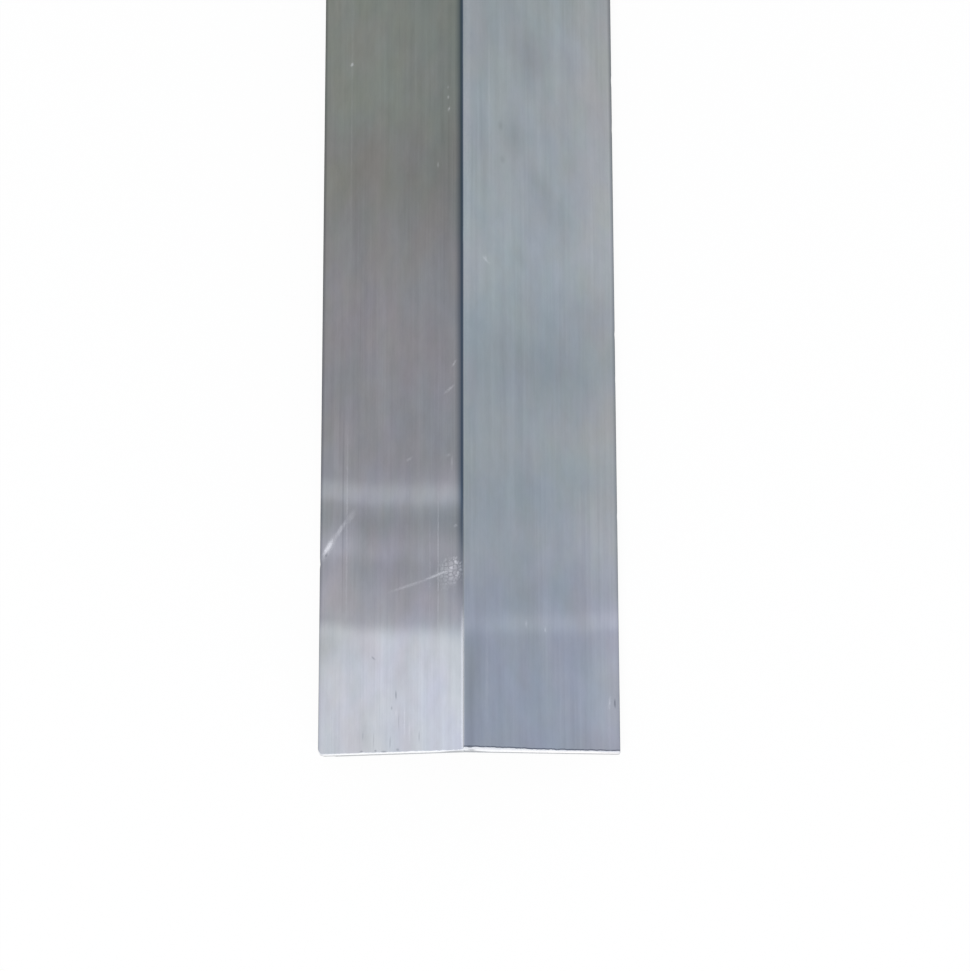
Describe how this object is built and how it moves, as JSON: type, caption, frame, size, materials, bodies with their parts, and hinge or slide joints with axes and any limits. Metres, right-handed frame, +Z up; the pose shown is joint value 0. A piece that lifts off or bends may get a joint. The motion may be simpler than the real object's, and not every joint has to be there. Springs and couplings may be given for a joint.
{
  "type": "aluminium angle bar",
  "caption": "Straight extruded aluminium bar of L section with equal legs and sawn ends, lying corner up on its toes; stock for frames, edging and brackets.",
  "frame": {"origin": "on the floor, under the middle of the bar: bottom centre of the bounding box", "axes": "+Y along the bar from the near sawn end to the far one, +Z up through the corner where the legs meet, +X to the right leg seen from the near end"},
  "size_m": [0.0702, 1, 0.037],
  "materials": {
    "mill_aluminium": "mill finish, as extruded, with fine die lines and handling scratches"
  },
  "bodies": {
    "root": {"angle_bar": "mill_aluminium"}
  },
  "joints": []
}
